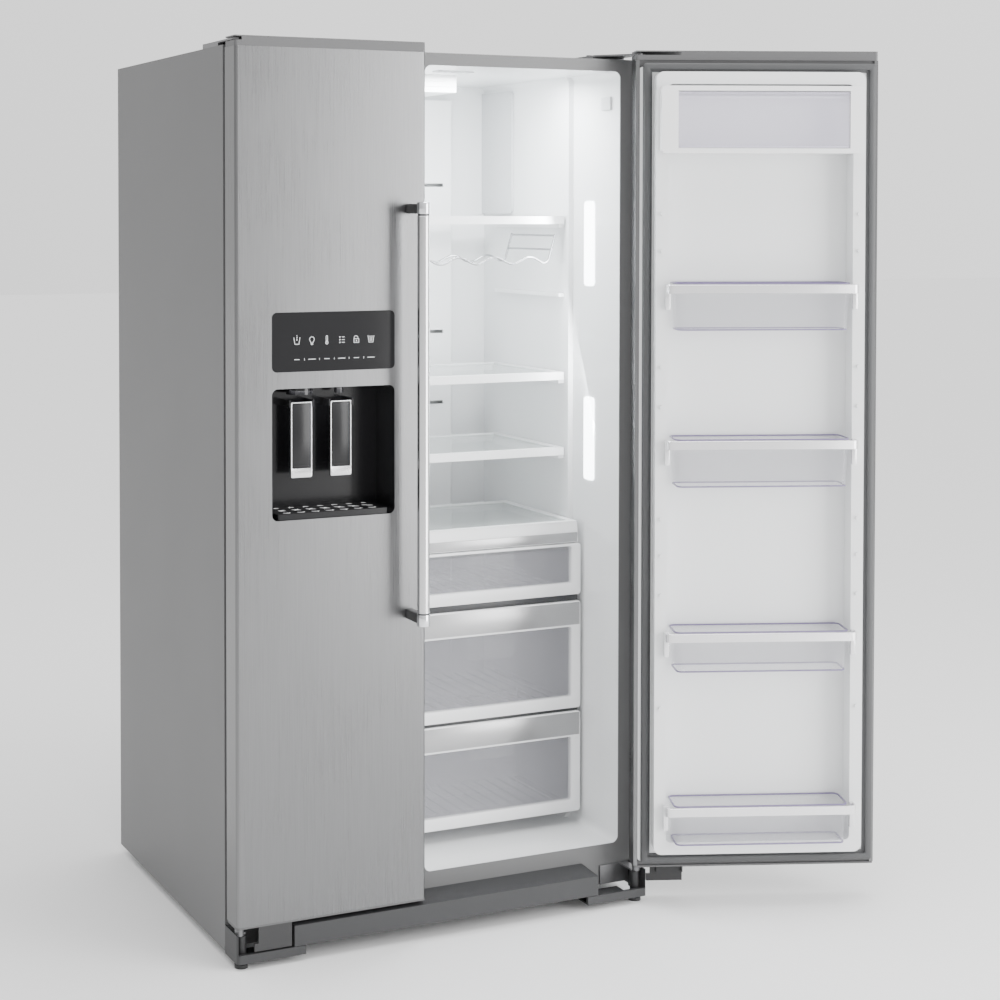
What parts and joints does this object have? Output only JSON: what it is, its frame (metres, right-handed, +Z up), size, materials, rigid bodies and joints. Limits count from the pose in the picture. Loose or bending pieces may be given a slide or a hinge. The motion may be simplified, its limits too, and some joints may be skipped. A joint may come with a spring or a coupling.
{
  "type": "side by side refrigerator",
  "caption": "Tall two-door refrigerator with a freezer on the left, a fresh food side on the right, an ice and water dispenser in the freezer door, glass shelves, clear drawers and door bins.",
  "frame": {"origin": "on the floor, under the middle of the cabinet's front face", "axes": "+X right seen from the front, +Y back into the cabinet, +Z up"},
  "size_m": [1.3674, 1.0216, 1.7755],
  "materials": {
    "bar_steel": "satin",
    "black_enamel": "black enamel",
    "black_gloss": "gloss black",
    "black_plastic": "satin black",
    "chrome_trim": "bright",
    "clear_plastic": "clear",
    "fin_aluminium": "bare",
    "foam": "rigid foam",
    "galvanised": "plain zinc grey",
    "gasket_rubber": "soft grey",
    "grey_paint": "textured grey enamel",
    "grey_plastic": "fine grain",
    "lamp_lens": "frosted, lit",
    "pane_glass": "clear",
    "roller_nylon": "smooth",
    "shelf_white": "smooth white",
    "stainless": "fine vertical brushing",
    "valve_plastic": "moulded",
    "white_liner": "smooth white",
    "wire_steel": "bright wire",
    "wire_white": "coated wire",
    "zinc_steel": "zinc plated"
  },
  "bodies": {
    "cabinet": {"cabinet_wrapper": "grey_paint", "rear_covers": "galvanised", "front_frame": "grey_paint", "freezer_liner": "white_liner", "fridge_liner": "white_liner", "cabinet_foam": "foam", "base_pan": "galvanised", "front_feet": "zinc_steel", "bottom_hinges": "zinc_steel", "top_hinges": "zinc_steel", "base_grille": "grey_plastic", "compressor": "black_enamel", "condenser": "black_enamel", "fan_shroud": "grey_plastic", "drain_pan": "grey_plastic", "water_valve": "valve_plastic", "cord_gland": "black_plastic", "evaporator": "fin_aluminium", "evaporator_cover": "white_liner", "ice_maker": "shelf_white", "freezer_racks": "wire_white", "rear_duct": "white_liner", "light_housing": "white_liner", "liner_fittings": "grey_plastic", "led_lenses": "lamp_lens", "shelf_frames": "shelf_white", "shelf_panes": "pane_glass", "wall_ledges": "white_liner", "crisper_cover": "shelf_white", "wine_rack": "wire_steel"},
    "freezer_door": {"freezer_door_skin": "stainless", "freezer_door_foam": "foam", "freezer_door_liner": "white_liner", "freezer_gasket": "gasket_rubber", "freezer_door_caps": "grey_plastic", "freezer_handle": "bar_steel", "freezer_bins": "clear_plastic", "dispenser_housing": "black_plastic", "control_panel": "black_gloss", "drip_tray": "black_plastic"},
    "fridge_door": {"fridge_door_skin": "stainless", "fridge_door_foam": "foam", "fridge_door_liner": "white_liner", "fridge_gasket": "gasket_rubber", "fridge_door_caps": "grey_plastic", "fridge_handle": "bar_steel", "dairy_box": "shelf_white"},
    "ice_paddle": {"ice_paddle": "chrome_trim"},
    "water_paddle": {"water_paddle": "chrome_trim"},
    "dairy_lid": {"dairy_lid": "clear_plastic"},
    "door_bin_1": {"door_bin_1": "clear_plastic"},
    "door_bin_2": {"door_bin_2": "clear_plastic"},
    "door_bin_3": {"door_bin_3": "clear_plastic"},
    "door_bin_4": {"door_bin_4": "clear_plastic"},
    "deli_drawer": {"deli_drawer": "clear_plastic"},
    "upper_crisper": {"upper_crisper": "clear_plastic"},
    "lower_crisper": {"lower_crisper": "clear_plastic"},
    "condenser_fan": {"condenser_fan": "black_plastic"},
    "evaporator_fan": {"evaporator_fan": "grey_plastic"},
    "rear_rollers": {"rear_rollers": "roller_nylon"}
  },
  "joints": [
    {"name": "freezer_door_hinge", "type": "hinge", "parent": "cabinet", "child": "freezer_door", "pos_m": [-0.442, -0.047, 0], "axis": [0, 0, -1], "range_deg": [0, 130]},
    {"name": "fridge_door_hinge", "type": "hinge", "parent": "cabinet", "child": "fridge_door", "pos_m": [0.442, -0.047, 0], "axis": [0, 0, 1], "range_deg": [-158.5, 6.5]},
    {"name": "deli_drawer_slide", "type": "slide", "parent": "cabinet", "child": "deli_drawer", "axis": [0, -1, 0], "range_m": [0, 0.28]},
    {"name": "upper_crisper_slide", "type": "slide", "parent": "cabinet", "child": "upper_crisper", "axis": [0, -1, 0], "range_m": [0, 0.28]},
    {"name": "lower_crisper_slide", "type": "slide", "parent": "cabinet", "child": "lower_crisper", "axis": [0, -1, 0], "range_m": [0, 0.19]},
    {"name": "dairy_lid_hinge", "type": "hinge", "parent": "fridge_door", "child": "dairy_lid", "pos_m": [0.63454, -0.2185, 1.686], "axis": [-0.9304, 0.3665, 0], "range_deg": [0, 95]},
    {"name": "door_bin_1_lift", "type": "slide", "parent": "fridge_door", "child": "door_bin_1", "axis": [0, 0, 1], "range_m": [0, 0.025]},
    {"name": "door_bin_2_lift", "type": "slide", "parent": "fridge_door", "child": "door_bin_2", "axis": [0, 0, 1], "range_m": [0, 0.025]},
    {"name": "door_bin_3_lift", "type": "slide", "parent": "fridge_door", "child": "door_bin_3", "axis": [0, 0, 1], "range_m": [0, 0.025]},
    {"name": "door_bin_4_lift", "type": "slide", "parent": "fridge_door", "child": "door_bin_4", "axis": [0, 0, 1], "range_m": [0, 0.025]},
    {"name": "ice_paddle_hinge", "type": "hinge", "parent": "freezer_door", "child": "ice_paddle", "pos_m": [-0.302, -0.016, 1.072], "axis": [1, 0, 0], "range_deg": [0, 10], "stiffness_Nm_per_rad": 0.2, "springref_deg": -11.46},
    {"name": "water_paddle_hinge", "type": "hinge", "parent": "freezer_door", "child": "water_paddle", "pos_m": [-0.219, -0.016, 1.072], "axis": [1, 0, 0], "range_deg": [0, 10], "stiffness_Nm_per_rad": 0.2, "springref_deg": -11.46},
    {"name": "condenser_fan_spin", "type": "hinge", "parent": "cabinet", "child": "condenser_fan", "pos_m": [-0.049, 0.585, 0.1265], "axis": [1, 0, 0], "continuous": true},
    {"name": "evaporator_fan_spin", "type": "hinge", "parent": "cabinet", "child": "evaporator_fan", "pos_m": [-0.25425, 0.523, 0.785], "axis": [0, -1, 0], "continuous": true},
    {"name": "rear_roller_spin", "type": "hinge", "parent": "cabinet", "child": "rear_rollers", "pos_m": [0, 0.63, 0.024], "axis": [1, 0, 0], "continuous": true}
  ]
}
